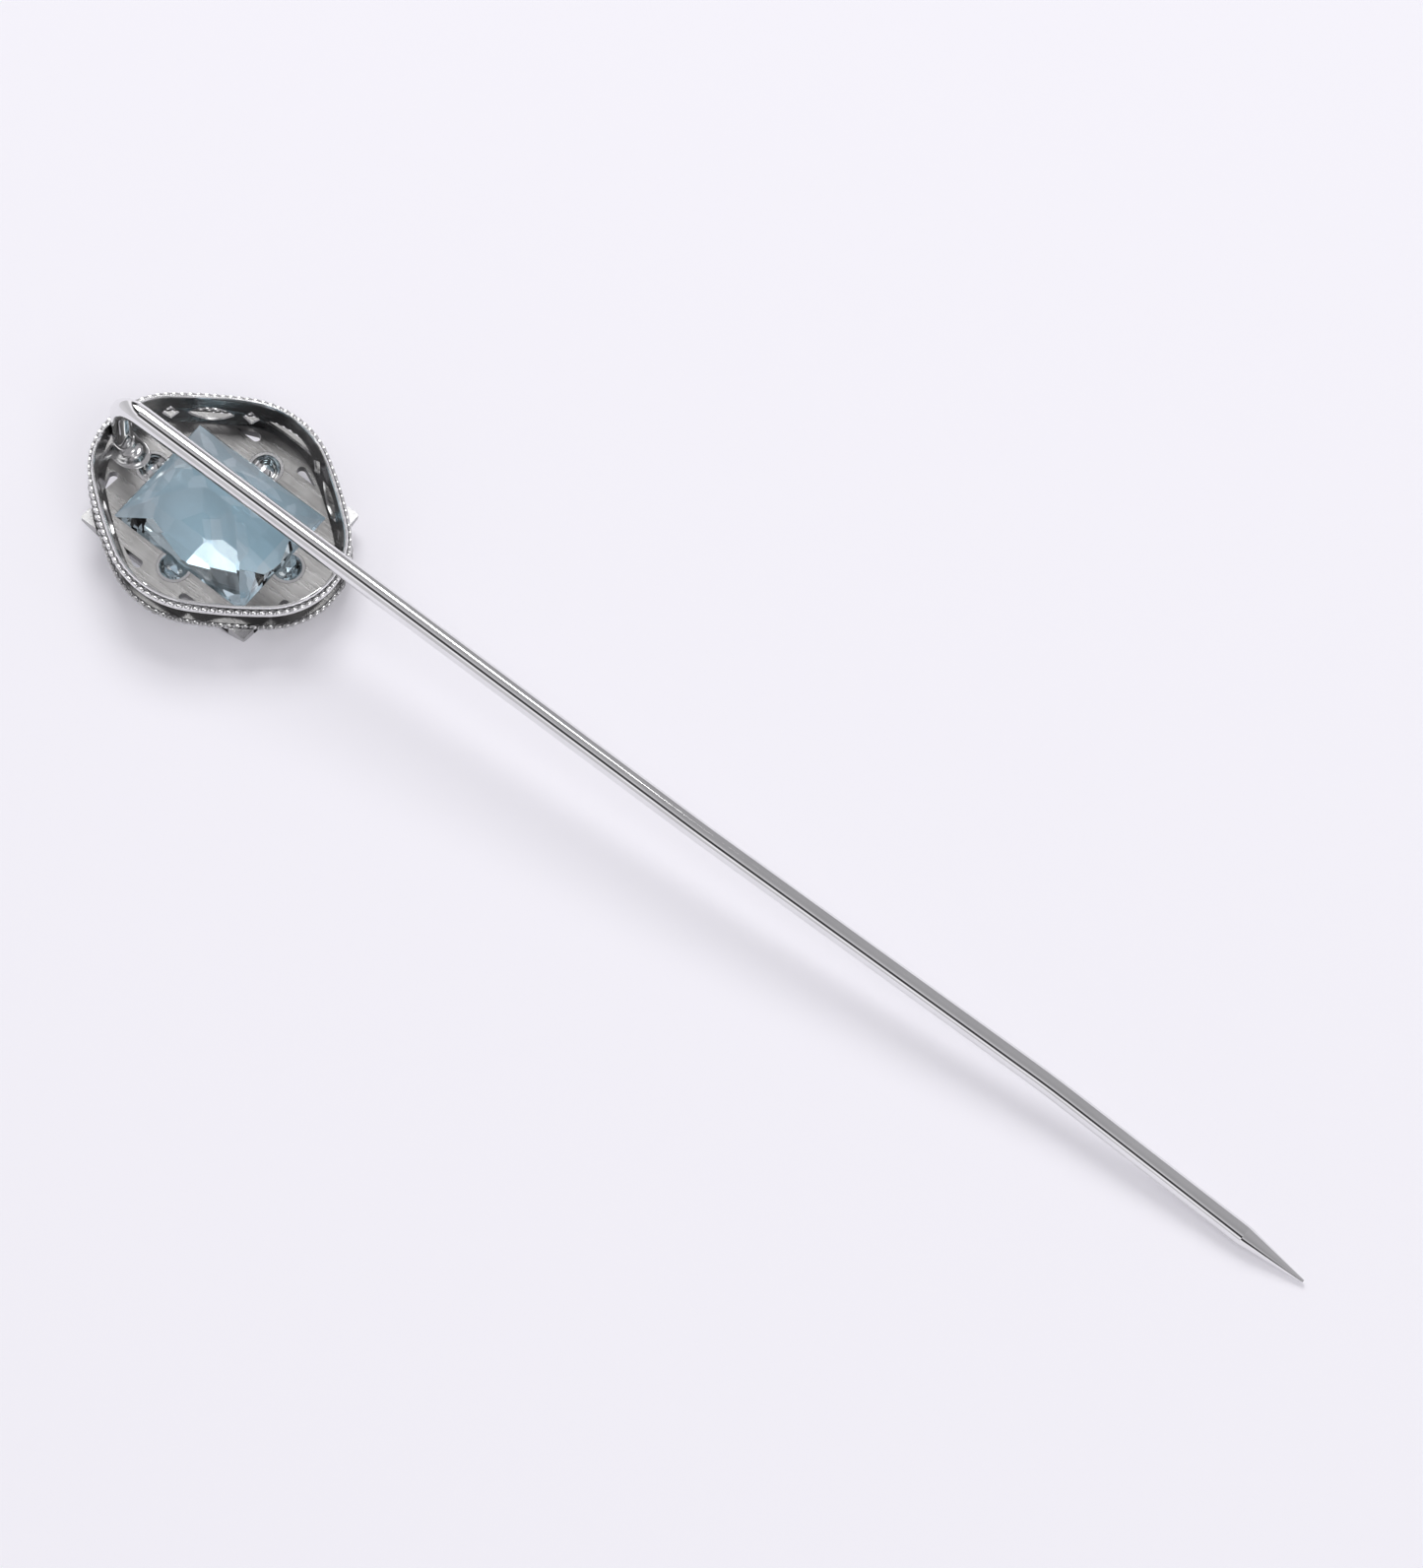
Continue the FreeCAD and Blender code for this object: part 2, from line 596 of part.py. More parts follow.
def setting_cup(side, x, y, stone_space):
    """Hollow half dome beside the girdle, open to the back and to the stone."""
    outer = ball(side + "_cup_outer", size("cup_radius"), x, y)
    inner = ball(side + "_cup_inner", "Sizes.cup_radius - Sizes.cup_wall", x, y)
    above = bind(doc.addObject("Part::Box", side + "_cup_above"), Length="20", Width="20",
                 Height="5")
    place(above, x="-10", y="-10")
    waste = joined(side + "_cup_waste", [inner, above, stone_space])
    return cut("cup_" + side, outer, waste)


def corner_claw(corner, x, y, stone_space):
    """Tapered claw on the frame that laps over one corner of the crown."""
    cone = bind(doc.addObject("Part::Cone", corner + "_claw_blank"),
                Radius1=size("claw_radius"), Radius2=size("claw_tip_radius"),
                Height=size("claw_height"))
    place(cone, x=x, y=y, z=size("frame_front"), axis="1; 0; 0", angle="180")
    return cut("claw_" + corner, cone, stone_space)


def pin_stem():
    """Post, elbow, gently bowed shaft and tapered point in one length of wire."""
    radius = size("stem_radius")
    post = bind(doc.addObject("Part::Cylinder", "stem_post"), Radius=radius,
                Height=size("post_height"))
    place(post, x=size("post_offset", "-"))
    section = ring_profile("elbow_profile", radius)
    place(section, x=size("post_offset", "-"), z=size("post_height"))
    elbow = doc.addObject("Part::Revolution", "stem_elbow")
    elbow.Source = section
    elbow.Axis = Y_AXIS
    elbow.Angle = 90
    elbow.Solid = True
    elbow.setExpression("Base.x", size("elbow_end"))
    elbow.setExpression("Base.z", size("post_height"))
    profile = ring_profile("shaft_profile", radius)
    place(profile, x=size("elbow_end"), z=size("stem_height"), axis="0; 1; 0", angle="90")
    shaft = swept("stem_shaft", profile, shaft_path("shaft_path"))
    point = bind(doc.addObject("Part::Cone", "stem_point"), Radius1=radius,
                 Radius2=size("point_radius"),
                 Height="Sizes.taper_length / cos(Sizes.bow_in_angle)")
    place(point, x=size("taper_start"), y=size("taper_across"), z=size("stem_height"),
          axis="sin(Sizes.bow_in_angle); cos(Sizes.bow_in_angle); 0", angle="90")
    return joined("pin_stem", [post, elbow, shaft, point])


def stem_solder():
    """Solder fillet round the foot of the post, bounded by the gallery wall."""
    cone = bind(doc.addObject("Part::Cone", "solder_cone"), Radius1=size("solder_radius"),
                Radius2=size("stem_radius"), Height=size("solder_height"))
    place(cone, x=size("post_offset", "-"))
    inside = gallery_void("solder_bound")
    hole = bind(doc.addObject("Part::Cylinder", "solder_hole"), Radius=size("stem_radius"),
                Height="3")
    place(hole, x=size("post_offset", "-"), z="-1")
    return cut("stem_solder", shared("solder_bead", [cone, inside]), hole)


def build_pieces():
    """Make every piece in the head's own axes and return them in order."""
    stone_space = stone_body("stone_space", size("fit_gap"))
    spaces = [ball(side + "_cup_space", "Sizes.cup_radius + Sizes.fit_gap", x, y)
              for side, x, y in cup_spots()]
    balls = joined("cup_spaces", spaces)
    drops = teardrops()
    pieces = [
        pin_stem(), stem_solder(), gallery_band(), back_rim(),
        milgrain("milgrain_back", "back_bead_grow", "back_bead_level", "back_bead_radius"),
        shoulder_band(),
        milgrain("milgrain_front", "front_bead_grow", "front_bead_level", "front_bead_radius"),
        gallery_plate(drops, stone_space, balls), stone_frame(drops, balls),
    ]
    pieces += [setting_cup(side, x, y, stone_space) for side, x, y in cup_spots()]
    pieces += [corner_claw(corner, x, y, stone_space) for corner, x, y in claw_spots()]
    pieces.append(stone_body("stone"))
    return pieces


def lay_down(pieces):
    """Tilt the pin so that stone table and taper touch the ground, centred on its box."""
    for piece in pieces:
        place(piece, x=size("rest_shift"), z=size("rest_rise"), axis="0; 1; 0",
              angle=size("rest_angle"))
    doc.recompute()
    boxes = [piece.Shape.optimalBoundingBox() for piece in pieces]
    middle = (min(b.XMin for b in boxes) + max(b.XMax for b in boxes)) / 2
    sheet.set(sheet.getCellFromAlias("rest_shift"), "%.4f" % -middle)
    doc.recompute()


def check(pieces):
    """Stop on any object in error and on any empty or invalid piece."""
    for thing in doc.Objects:
        if "Invalid" in thing.State or "Error" in thing.State:
            raise RuntimeError("%s is not sound: %s" % (thing.Name, thing.State))
    for piece in pieces:
        if piece.Shape.isNull() or not piece.Shape.isValid():
            raise RuntimeError("%s has no valid shape" % piece.Name)
        if len(piece.Shape.Solids) != 1:
            raise RuntimeError("%s is not one solid" % piece.Name)


fill_sheet()
nodes = build_pieces()
lay_down(nodes)
check(nodes)
os.makedirs("parts", exist_ok=True)
for node in nodes:
    node.Shape.exportStep("parts/%s.step" % node.Label)
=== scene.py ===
import math

import bmesh
import bpy
from mathutils import Matrix, Vector

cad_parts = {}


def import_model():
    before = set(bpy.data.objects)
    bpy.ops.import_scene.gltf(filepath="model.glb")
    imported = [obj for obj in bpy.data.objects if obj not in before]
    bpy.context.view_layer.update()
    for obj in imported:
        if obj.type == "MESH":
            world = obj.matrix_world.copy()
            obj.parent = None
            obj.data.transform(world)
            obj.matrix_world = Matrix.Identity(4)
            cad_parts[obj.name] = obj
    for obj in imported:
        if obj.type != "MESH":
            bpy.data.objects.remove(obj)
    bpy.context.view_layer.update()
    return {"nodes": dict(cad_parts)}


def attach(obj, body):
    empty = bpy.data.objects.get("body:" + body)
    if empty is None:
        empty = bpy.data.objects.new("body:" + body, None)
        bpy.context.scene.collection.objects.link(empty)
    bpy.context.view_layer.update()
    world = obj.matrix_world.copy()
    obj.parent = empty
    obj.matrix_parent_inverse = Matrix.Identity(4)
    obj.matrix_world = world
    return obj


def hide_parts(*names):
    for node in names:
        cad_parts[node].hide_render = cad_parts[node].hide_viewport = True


MM = 0.001

# Sizes of the head in its own axes, in millimetres: X towards the point, Z out of the back.
HALF_LENGTH, HALF_WIDTH = 6.23, 5.23
END_RADIUS, SIDE_RADIUS, FLANK_RADIUS = 3.4, 4.14, 20.4
BACK_BEAD = {"grow": 0.26, "level": 1.41, "radius": 0.109}
FRONT_BEAD = {"grow": 0.28, "level": -0.02, "radius": 0.129}
BEAD_PITCH = 0.37
BEAD_LEAN = 0.7
CORE_SHARE = 0.6
CORE_RINGS, CORE_SIDES = 240, 8
BALL_RINGS, BALL_SIDES = 8, 12
POST_OFFSET, POST_RADIUS = 5.68, 0.48
POOL_REACH, POOL_HEIGHT, POOL_TURN = 0.62, 0.62, math.radians(-12)
POOL_RINGS, POOL_SIDES = 14, 64
POOL_WALL_MARGIN = 0.36
POOL_FOOT_LEVEL, POOL_EDGE_LEVEL = 0.001, 0.004
STONE_HALF = (3.68, 2.96)
STONE_BLOCK = 12
# Stone profile: growth over the opening against level, from the girdle to the keel and the table.
PAVILION = [(0.275, -0.55), (-0.075, 0.15), (-0.56, 0.68), (-1.25, 1.24), (-2.05, 1.72), (-2.93, 2.1)]
CROWN = [(0.275, -0.67), (-0.055, -0.97), (-0.5, -1.11), (-1.1, -1.3), (-1.75, -1.38)]
GIRDLE = ((0.275, -0.6), (0.275, -0.7))
# Facets that break up each side: share of the turn below, and the step that the facet cuts.
BREAK_TURNS = (-0.13, 0.11)
BREAKS = [(1, (-0.42, 0.68), (-1.1, 1.24)), (1.5, (-1.2, 1.3), (-2.0, 1.72)),
          (2, (0.1, -0.98), (-0.4, -1.22)), (-4, (-0.3, -1.1), (-1.0, -1.32)),
          (6, (-0.9, -1.28), (-1.9, -1.37))]
# Facets across each corner: the step that the facet cuts, and how far it bites in.
CORNER_BREAKS = [((-0.3, 0.42), (-1.0, 1.0), 0.12), ((0.02, -0.9), (-0.5, -1.15), 0.25)]

# How the pin lies: slope of the head's axes, rise over the floor and shift along the pin.
REST_ANGLE = math.radians(5.604)
REST_RISE = 1.6033
REST_SHIFT = -26.27

# Tent round the pin: the axis its panels follow, and brightness against the cosine from it.
TENT_SEAM = (0.818, 0.465, 0.340)
TENT_TINT = (1.0, 0.985, 1.03)
TENT_TONES = [(-1.0, 0.8), (-0.6, 0.6), (-0.42, 0.62), (-0.34, 1.0), (-0.25, 1.0), (-0.19, 0.05),
              (0.0, 0.05), (0.06, 0.7), (0.2, 0.42), (0.35, 0.36), (1.0, 0.5)]
FLOOR_TINT = (0.985, 0.97, 1.025)
FLOOR_TONE = 0.72
# Painted glow of the floor for camera, glossy and transmission rays: it lifts the floor's shadow and
# brightens its reflections and what shows through the stone and openings.
FLOOR_PAINTED_GLOW = 0.22
FLOOR_HALF = 1.5
BACKDROP = (0.93, 0.92, 0.97, 1)
# Square lamps: name, place, side in metres and watts.
LAMPS = [("key", (-0.25, 0.30, 0.45), 0.3, 1.9), ("fill", (0.35, -0.10, 0.40), 0.25, 0.5)]

IMAGE_W, IMAGE_H = 1445, 1592
FOCAL_PX = 4597.8
SENSOR_WIDTH = 36
CAMERA_ELEVATION, CAMERA_AZIMUTH = math.radians(63.69), math.radians(37.725)
CAMERA_ROLL = math.radians(-0.245)
CAMERA_DISTANCE = 0.2
CAMERA_TARGET = (25.292 + REST_SHIFT, 3.437, 0)

# Sockets of a colour Mix node, whose names repeat.
MIX_FACTOR, MIX_A, MIX_B, MIX_RESULT = 0, 6, 7, 2


def row(point):
    """Point of the head's own axes in the row frame, in metres."""
    x, y, z = point
    c, s = math.cos(REST_ANGLE), math.sin(REST_ANGLE)
    return Vector((x * c + z * s + REST_SHIFT, y, -x * s + z * c + REST_RISE)) * MM


# ------------------------------------------------------------------ materials

class Net:
    """Short way to write node trees."""

    def __init__(self, owner, shader):
        owner.use_nodes = True
        self.owner = owner
        self.nodes = owner.node_tree.nodes
        self.links = owner.node_tree.links
        self.shader = self.nodes[shader]

    def add(self, kind, **values):
        """New node, with each value set on the socket or the property of that name."""
        node = self.nodes.new(kind)
        for key, val in values.items():
            if key in node.inputs:
                node.inputs[key].default_value = val
            else:
                setattr(node, key, val)
        return node

    def join(self, source, out, target, into):
        """Link one node's output to another's input."""
        self.links.new(source.outputs[out], target.inputs[into])

    def set(self, **values):
        """Set the shader's own sockets, with underscores for spaces."""
        for key, val in values.items():
            self.shader.inputs[key.replace("_", " ")].default_value = val

    def ramp(self, source, out, stops):
        """Colour ramp from pairs of position and colour."""
        node = self.nodes.new("ShaderNodeValToRGB")
        while len(node.color_ramp.elements) > 1:
            node.color_ramp.elements.remove(node.color_ramp.elements[-1])
        node.color_ramp.elements[0].position = stops[0][0]
        node.color_ramp.elements[0].color = stops[0][1]
        for pos, col in stops[1:]:
            node.color_ramp.elements.new(pos).color = col
        self.links.new(source.outputs[out], node.inputs["Fac"])
        return node


def grey(value, tint=(1, 1, 1)):
    """Opaque colour of one brightness with a slight tint."""
    return (value * tint[0], value * tint[1], value * tint[2], 1)


def metal(name, dark, light, rough_low, rough_high, scratch_scale=900, bump=0.0,
          stretch=(1, 1, 1), cloud_scale=350):
    """White metal: clouded tone, fine streaks of roughness and, with bump, of height."""
    net = Net(bpy.data.materials.new(name), "Principled BSDF")
    net.set(Metallic=1.0)
    coords = net.add("ShaderNodeTexCoord")
    cloud = net.add("ShaderNodeTexNoise", Scale=cloud_scale, Detail=4.0, Roughness=0.6)
    net.join(coords, "Object", cloud, "Vector")
    tone = net.ramp(cloud, "Fac", [(0.3, dark), (0.7, light)])
    net.join(tone, "Color", net.shader, "Base Color")
    mapping = net.add("ShaderNodeMapping")
    mapping.inputs["Scale"].default_value = stretch
    net.join(coords, "Object", mapping, "Vector")
    lines = net.add("ShaderNodeTexNoise", Scale=scratch_scale, Detail=6.0, Roughness=0.7)
    net.join(mapping, "Vector", lines, "Vector")
    rough = net.add("ShaderNodeMapRange")
    rough.inputs["From Min"].default_value = 0.3
    rough.inputs["From Max"].default_value = 0.7
    rough.inputs["To Min"].default_value = rough_low
    rough.inputs["To Max"].default_value = rough_high
    net.join(lines, "Fac", rough, "Value")
    net.join(rough, "Result", net.shader, "Roughness")
    if bump:
        height = net.add("ShaderNodeBump", Strength=bump, Distance=0.00002)
        net.join(lines, "Fac", height, "Height")
        net.join(height, "Normal", net.shader, "Normal")
    return net.owner


def stone_material():
    """Clear pale aqua stone; its tone, set from facet to facet by each facet's facing, is painted
    light play of the facets.
    """
    net = Net(bpy.data.materials.new("aqua_stone"), "Principled BSDF")
    net.set(Roughness=0.0, IOR=1.58, Transmission_Weight=1.0)
    # Tone picked by each facet's facing: painted light play from facet to facet.
    facing = net.add("ShaderNodeNewGeometry")
    cloud = net.add("ShaderNodeTexNoise", Scale=9.0, Detail=1.0)
    net.join(facing, "True Normal", cloud, "Vector")
    tone = net.ramp(cloud, "Fac", [(0.35, (0.46, 0.66, 0.74, 1)), (0.65, (0.80, 0.90, 0.93, 1))])
    net.join(tone, "Color", net.shader, "Base Color")
    return net.owner


POLISHED = metal("polished_metal", grey(0.80), grey(0.87), 0.03, 0.09)
RIM = metal("rim_metal", grey(0.80), grey(0.90), 0.04, 0.12)
BEADS = metal("bead_metal", grey(0.80), grey(0.92), 0.06, 0.16)
# Bead core: a near-black base as painted shade in the gaps between the beads.
BEAD_GAP_SHADE = metal("bead_gap_painted_shade", grey(0.12), grey(0.35), 0.25, 0.45)
# Front beads: a base darker than the back beads, as painted shade on the row under the head.
FRONT_BEADS_SHADE = metal("front_bead_painted_shade", grey(0.34), grey(0.72), 0.1, 0.3, cloud_scale=1500)
# Back plate: satin roughness and streaks are real; its base, far darker than the rest of the metal,
# is painted shade.
SATIN_PAINTED_SHADE = metal("satin_metal", grey(0.12, (1, 0.99, 0.98)), grey(0.22, (1, 0.99, 0.985)), 0.2, 0.4,
              scratch_scale=1500, bump=0.5, stretch=(0.25, 3.0, 1.0))
# Gallery wall: its base, darker than the rest of the metal, is painted shade on the receding wall.
WALL_PAINTED_SHADE = metal("wall_painted_shade", grey(0.30), grey(0.52), 0.1, 0.28, scratch_scale=1200, bump=0.3,
             stretch=(1.0, 1.0, 3.0))
# Shoulder band: rough finish, with a base lighter than the rest of the metal as painted light on the
# band.
SHOULDER_PAINTED_LIGHT = metal("shoulder_painted_light", grey(0.90), grey(0.97), 0.42, 0.58)
# Stone frame and horns: the base, darker than the rest of the metal, is painted shade under the head.
FRAME_PAINTED_SHADE = metal("frame_painted_shade", grey(0.36), grey(0.55), 0.2, 0.36, scratch_scale=1300, bump=0.35)
SOLDER = metal("solder_metal", grey(0.50), grey(0.76), 0.12, 0.28, scratch_scale=700, bump=0.4)
STONE = stone_material()


def dress(thing, material):
    """Give one object a single material."""
    thing.data.materials.clear()
    thing.data.materials.append(material)


# ------------------------------------------------------------------ geometry

def outline(grow, count):
    """Points and outward normals at even spacing along the grown lozenge outline."""
    c1 = Vector((HALF_LENGTH - END_RADIUS, 0))
    c2 = Vector((0, HALF_WIDTH - SIDE_RADIUS))
    p, q = FLANK_RADIUS - END_RADIUS, FLANK_RADIUS - SIDE_RADIUS
    span = (c2 - c1).length
    step = (p * p - q * q + span * span) / (2 * span)
    rise = math.sqrt(p * p - step * step)
    along = (c2 - c1) / span
    c3 = c1 + along * step - Vector((along.y, -along.x)) * rise
    low = math.atan2(-c3.y, c1.x - c3.x)
    high = math.atan2(c2.y - c3.y, -c3.x)
    pi = math.pi
    arcs = [(c1.x, 0, END_RADIUS, -low, low), (c3.x, c3.y, FLANK_RADIUS, low, high),
            (0, c2.y, SIDE_RADIUS, high, pi - high),
            (-c3.x, c3.y, FLANK_RADIUS, pi - high, pi - low),
            (-c1.x, 0, END_RADIUS, pi - low, pi + low),
            (-c3.x, -c3.y, FLANK_RADIUS, pi + low, pi + high),
            (0, -c2.y, SIDE_RADIUS, pi + high, 2 * pi - high),
            (c3.x, -c3.y, FLANK_RADIUS, 2 * pi - high, 2 * pi - low)]
    lengths = [(r + grow) * (b - a) for _, _, r, a, b in arcs]
    total = sum(lengths)
    points = []
    for index in range(count):
        s = total * index / count
        k = 0
        while s > lengths[k]:
            s -= lengths[k]
            k += 1
        x, y, r, a, _ = arcs[k]
        t = a + s / (r + grow)
        points.append((Vector((x + (r + grow) * math.cos(t), y + (r + grow) * math.sin(t))),
                       Vector((math.cos(t), math.sin(t)))))
    return points, total


def mesh_object(name, verts, faces, material, smooth=True):
    """New mesh object from vertices in metres."""
    mesh = bpy.data.meshes.new(name)
    mesh.from_pydata([tuple(v) for v in verts], [], faces)
    mesh.validate()
    if smooth:
        mesh.polygons.foreach_set("use_smooth", [True] * len(mesh.polygons))
    mesh.update()
    thing = bpy.data.objects.new(name, mesh)
    bpy.context.scene.collection.objects.link(thing)
    dress(thing, material)
    return thing


def unit_ball(rings, sides):
    """Vertices and faces of a unit sphere with poles on Z."""
    verts = [(0, 0, 1)]
    for i in range(1, rings):
        t = math.pi * i / rings
        for j in range(sides):
            a = 2 * math.pi * j / sides
            verts.append((math.sin(t) * math.cos(a), math.sin(t) * math.sin(a), math.cos(t)))
    verts.append((0, 0, -1))
    faces = [(0, 1 + j, 1 + (j + 1) % sides) for j in range(sides)]
    for i in range(rings - 2):
        a, b = 1 + i * sides, 1 + (i + 1) * sides
        for j in range(sides):
            k = (j + 1) % sides
            faces.append((a + j, b + j, b + k, a + k))
    last, a = len(verts) - 1, 1 + (rings - 2) * sides
    faces += [(last, a + (j + 1) % sides, a + j) for j in range(sides)]
    return verts, faces


def wobble(index, salt):
    """Repeatable number between -1 and 1."""
    return math.sin(index * 12.9898 + salt * 78.233) * 43758.5453 % 1 * 2 - 1


def beading(name, size, material, node):
    """Row of leaning pressed beads on a thin core painted dark as the shade between the beads,
    standing for a plain CAD wire.
    """
    _, total = outline(size["grow"], 8)
    count = int(round(total / BEAD_PITCH))
    spots, _ = outline(size["grow"], count)
    ball_verts, ball_faces = unit_ball(BALL_RINGS, BALL_SIDES)
    verts, faces = [], []
    radius = size["radius"]
    for index, (spot, normal) in enumerate(spots):
        tangent = Vector((-normal.y, normal.x))
        r = radius * (0.96 + 0.04 * wobble(index, 1))
        r_along = BEAD_PITCH * (0.56 + 0.04 * wobble(index, 2))
        base = len(verts)
        for x, y, z in ball_verts:
            flat = spot + tangent * (x * r_along + z * r * BEAD_LEAN) + normal * (y * r)
            verts.append(row((flat.x, flat.y, size["level"] + z * r)))
        faces += [tuple(base + v for v in face) for face in ball_faces]
    core_spots, _ = outline(size["grow"], CORE_RINGS)
    base = len(verts)
    sides = CORE_SIDES
    core = radius * CORE_SHARE
    bead_faces = len(faces)
    for spot, normal in core_spots:
        for j in range(sides):
            a = 2 * math.pi * j / sides
            flat = spot + normal * (core * math.cos(a))
            verts.append(row((flat.x, flat.y, size["level"] + core * math.sin(a))))
    for i in range(CORE_RINGS):
        k = (i + 1) % CORE_RINGS
        for j in range(sides):
            m = (j + 1) % sides
            faces.append((base + i * sides + j, base + k * sides + j,
                          base + k * sides + m, base + i * sides + m))
    thing = mesh_object(name, verts, faces, material)
    # The core faces take the painted shade between the beads.
    thing.data.materials.append(BEAD_GAP_SHADE)
    for polygon in thing.data.polygons[bead_faces:]:
        polygon.material_index = 1
    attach(thing, "root")
    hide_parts(node)


def solder_pool():
    """Solder flowed round the foot of the post: a hollow-sided fillet with a swollen drop."""
    sides, rings = POOL_SIDES, POOL_RINGS
    verts, faces = [], []
    for ring in range(rings + 1):
        t = ring / rings
        for j in range(sides):
            a = 2 * math.pi * j / sides
            toward = max(0.0, math.cos(a - POOL_TURN))
            reach = POOL_REACH * (0.55 + 0.95 * toward ** 2 + 0.1 * math.sin(3 * a + 1))
            lump = 0.26 * math.exp(-((t - 0.52) / 0.2) ** 2) * toward ** 3
            r = POST_RADIUS + reach * t
            z = POOL_HEIGHT * (1 - t) ** 2.4 * (1 + 0.25 * math.sin(2 * a)) + lump + POOL_EDGE_LEVEL
            verts.append((-POST_OFFSET + r * math.cos(a), r * math.sin(a), z))
    for ring in range(rings):
        for j in range(sides):
            k = (j + 1) % sides
            a, b = ring * sides, (ring + 1) * sides
            faces.append((a + j, b + j, b + k, a + k))
    foot = len(verts)
    for ring in (0, rings):
        for j in range(sides):
            x, y, _ = verts[ring * sides + j]
            verts.append((x, y, POOL_FOOT_LEVEL))
    for j in range(sides):
        k = (j + 1) % sides
        last = rings * sides
        faces.append((foot + j, j, k, foot + k))
        faces.append((last + j, foot + sides + j, foot + sides + k, last + k))
        faces.append((foot + sides + j, foot + j, foot + k, foot + sides + k))
    bounded = []
    limit = HALF_LENGTH - POOL_WALL_MARGIN
    for x, y, z in verts:
        pull = min(1.0, limit / math.hypot(x, y * HALF_LENGTH / HALF_WIDTH))
        bounded.append(row((x * pull, y * pull, z)))
    thing = mesh_object("solder_pool", bounded, faces, SOLDER)
    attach(thing, "root")
    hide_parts("stem_solder")


def facet_plane(side, turn, low, high):
    """Point and normal of a facet along one side, turned a little about the side's middle."""
    half = STONE_HALF[side % 2]
    angle = math.pi / 2 * side + turn
    (grow, level), (next_grow, next_level) = low, high
    rise, run = abs(next_level - level), grow - next_grow
    tilt = math.copysign(run, next_level - level)
    middle = math.pi / 2 * side
    point = Vector(((half + grow) * math.cos(middle), (half + grow) * math.sin(middle), level))
    return point, Vector((rise * math.cos(angle), rise * math.sin(angle), tilt)).normalized()


def corner_plane(corner, low, high, bite):
    """Point and normal of a facet that takes the edge off one corner above a step."""
    x, y = STONE_HALF
    sx, sy = (1, 1, -1, -1)[corner], (1, -1, -1, 1)[corner]
    (grow, level), (next_grow, next_level) = low, high
    rise, run = abs(next_level - level), (grow - next_grow) * math.sqrt(2)
    point = Vector((sx * (x + grow - bite), sy * (y + grow - bite), level))
    tilt = math.copysign(run, next_level - level)
    return point, Vector((rise * sx * 0.7071, rise * sy * 0.7071, tilt)).normalized()


def cut_stone():
    """Step-cut stone made by slicing a block with the plane of each facet."""
    planes = []
    for side in range(4):
        for low, high in zip(PAVILION, PAVILION[1:]):
            planes.append(facet_plane(side, 0, low, high))
        for low, high in zip(CROWN, CROWN[1:]):
            planes.append(facet_plane(side, 0, low, high))
        planes.append(facet_plane(side, 0, *GIRDLE))
        for turn in BREAK_TURNS:
            for share, low, high in BREAKS:
                planes.append(facet_plane(side, turn * share, low, high))
    for corner in range(4):
        for low, high, bite in CORNER_BREAKS:
            planes.append(corner_plane(corner, low, high, bite))
    planes.append((Vector((0, 0, CROWN[-1][1])), Vector((0, 0, -1))))
    work = bmesh.new()
    bmesh.ops.create_cube(work, size=STONE_BLOCK)
    for point, normal in planes:
        everything = work.verts[:] + work.edges[:] + work.faces[:]
        result = bmesh.ops.bisect_plane(work, geom=everything, plane_co=point, plane_no=normal,
                                        clear_outer=True, dist=0.0005)
        edges = [item for item in result["geom_cut"] if isinstance(item, bmesh.types.BMEdge)]
        if len(edges) > 2:
            bmesh.ops.contextual_create(work, geom=edges)
    bmesh.ops.remove_doubles(work, verts=work.verts[:], dist=0.002)
    bmesh.ops.recalc_face_normals(work, faces=work.faces[:])
    for vert in work.verts:
        vert.co = row(vert.co)
    mesh = bpy.data.meshes.new("cut_stone")
    work.to_mesh(mesh)
    work.free()
    thing = bpy.data.objects.new("cut_stone", mesh)
    bpy.context.scene.collection.objects.link(thing)
    dress(thing, STONE)
    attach(thing, "root")
    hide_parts("stone")


# ------------------------------------------------------------------ stage

def camera():
    """Camera at the photograph's angle, aimed near the middle of the pin."""
    elevation, azimuth, roll = CAMERA_ELEVATION, CAMERA_AZIMUTH, CAMERA_ROLL
    back = Vector((math.sin(azimuth) * math.cos(elevation),
                   -math.cos(azimuth) * math.cos(elevation), math.sin(elevation)))
    right = Vector((math.cos(azimuth), math.sin(azimuth), 0))
    up = back.cross(right)
    turned_right = right * math.cos(roll) + up * math.sin(roll)
    turned_up = up * math.cos(roll) - right * math.sin(roll)
    target = Vector(CAMERA_TARGET) * MM
    data = bpy.data.cameras.new("camera")
    data.sensor_fit = "AUTO"
    data.sensor_width = SENSOR_WIDTH
    data.lens = FOCAL_PX / max(IMAGE_W, IMAGE_H) * SENSOR_WIDTH
    data.clip_start = 0.005
    data.clip_end = 20
    thing = bpy.data.objects.new("camera", data)
    bpy.context.scene.collection.objects.link(thing)
    turn = Matrix((turned_right, turned_up, back)).transposed().to_4x4()
    thing.matrix_world = Matrix.Translation(target + back * CAMERA_DISTANCE) @ turn
    bpy.context.scene.camera = thing


def area_lamp(name, spot, size, watts):
    """Square lamp aimed at the middle of the floor."""
    data = bpy.data.lights.new(name, "AREA")
    data.shape = "SQUARE"
    data.size = size
    data.energy = watts
    thing = bpy.data.objects.new(name, data)
    bpy.context.scene.collection.objects.link(thing)
    thing.location = spot
    thing.rotation_euler = (-Vector(spot)).to_track_quat("-Z", "Y").to_euler()


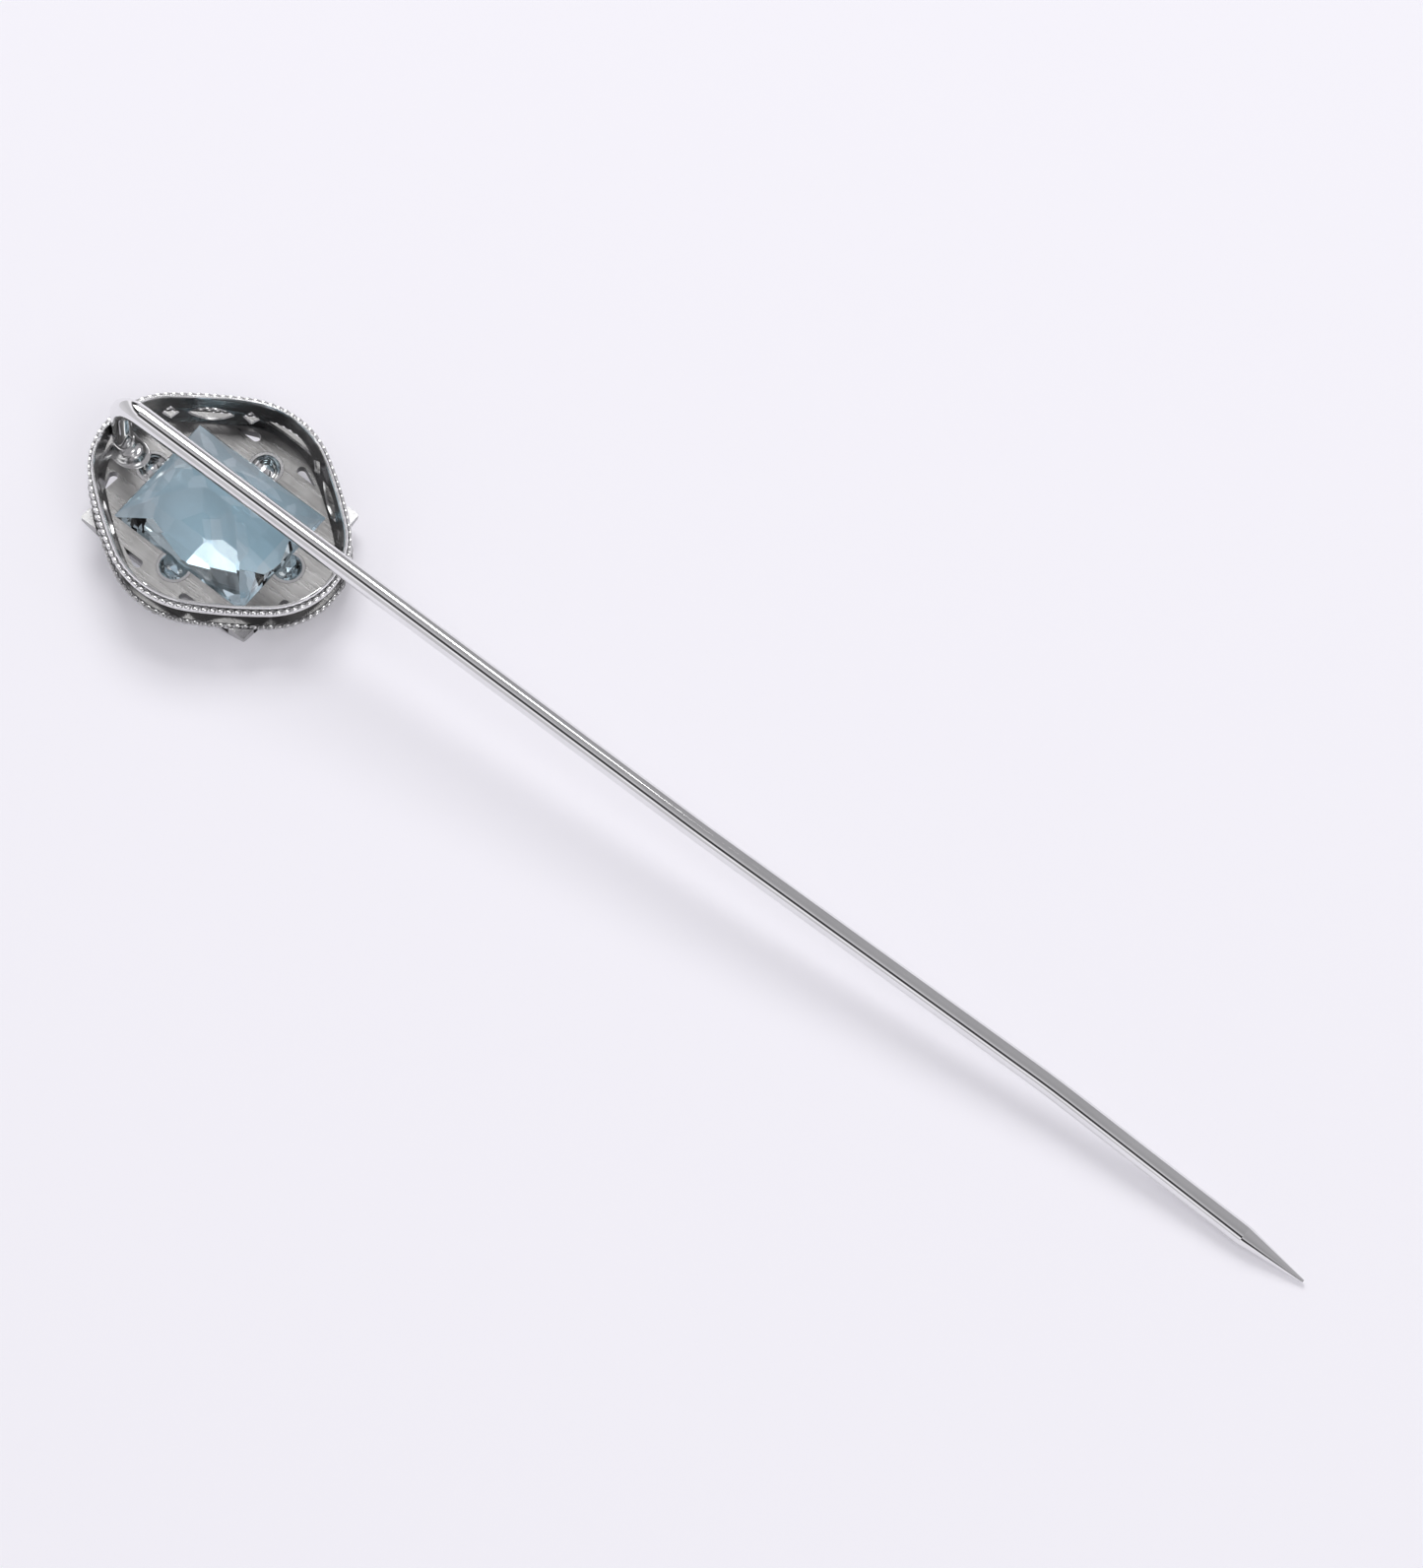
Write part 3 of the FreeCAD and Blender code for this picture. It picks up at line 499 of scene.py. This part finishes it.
def surroundings():
    """Tent of bright and grey panels with one dark seam; the camera sees a plain backdrop."""
    world = bpy.data.worlds.new("surroundings")
    bpy.context.scene.world = world
    net = Net(world, "Background")
    coords = net.add("ShaderNodeTexCoord")
    across = net.add("ShaderNodeVectorMath", operation="DOT_PRODUCT")
    across.inputs[1].default_value = TENT_SEAM
    net.join(coords, "Generated", across, "Vector")
    share = net.add("ShaderNodeMapRange")
    share.inputs["From Min"].default_value = -1.0
    net.join(across, "Value", share, "Value")
    tent = net.ramp(share, "Result", [(0.5 + q / 2, grey(v, TENT_TINT)) for q, v in TENT_TONES])
    path = net.add("ShaderNodeLightPath")
    mix = net.add("ShaderNodeMix", data_type="RGBA")
    net.join(path, "Is Camera Ray", mix, MIX_FACTOR)
    net.join(tent, "Color", mix, MIX_A)
    mix.inputs[MIX_B].default_value = BACKDROP
    net.join(mix, MIX_RESULT, net.shader, "Color")


def stage():
    """Pale floor with a painted glow, tent and soft lamps."""
    net = Net(bpy.data.materials.new("floor"), "Principled BSDF")
    net.set(Roughness=0.9, Specular_IOR_Level=0.0)
    net.set(Base_Color=grey(FLOOR_TONE, FLOOR_TINT), Emission_Color=grey(1.0, FLOOR_TINT))
    # The floor glows for camera, glossy and transmission rays though it is no lamp: painted light.
    path = net.add("ShaderNodeLightPath")
    seen = net.add("ShaderNodeMath", operation="ADD")
    net.join(path, "Is Camera Ray", seen, 0)
    net.join(path, "Is Glossy Ray", seen, 1)
    through = net.add("ShaderNodeMath", operation="ADD", use_clamp=True)
    net.join(seen, "Value", through, 0)
    net.join(path, "Is Transmission Ray", through, 1)
    painted_glow = net.add("ShaderNodeMath", operation="MULTIPLY")
    net.join(through, "Value", painted_glow, 0)
    painted_glow.inputs[1].default_value = FLOOR_PAINTED_GLOW
    net.join(painted_glow, "Value", net.shader, "Emission Strength")
    half = FLOOR_HALF
    corners = [(-half, -half, 0), (half, -half, 0), (half, half, 0), (-half, half, 0)]
    floor = mesh_object("floor", corners, [(0, 1, 2, 3)], net.owner, smooth=False)
    surroundings()
    for name, spot, size, watts in LAMPS:
        area_lamp(name, spot, size, watts)


def main():
    """Dress the CAD nodes, add the stand-ins and set up the picture."""
    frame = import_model()
    finishes = {
        "pin_stem": POLISHED, "stem_solder": SOLDER, "gallery_band": WALL_PAINTED_SHADE, "back_rim": RIM,
        "milgrain_back": BEADS, "shoulder_band": SHOULDER_PAINTED_LIGHT, "milgrain_front": BEADS,
        "gallery_plate": SATIN_PAINTED_SHADE, "stone_frame": FRAME_PAINTED_SHADE, "stone": STONE}
    for name, node in frame["nodes"].items():
        dress(node, finishes.get(name, POLISHED))
    beading("back_beading", BACK_BEAD, BEADS, "milgrain_back")
    beading("front_beading", FRONT_BEAD, FRONT_BEADS_SHADE, "milgrain_front")
    cut_stone()
    solder_pool()
    camera()
    stage()
    view = bpy.context.scene.view_settings
    view.view_transform = "Standard"


main()
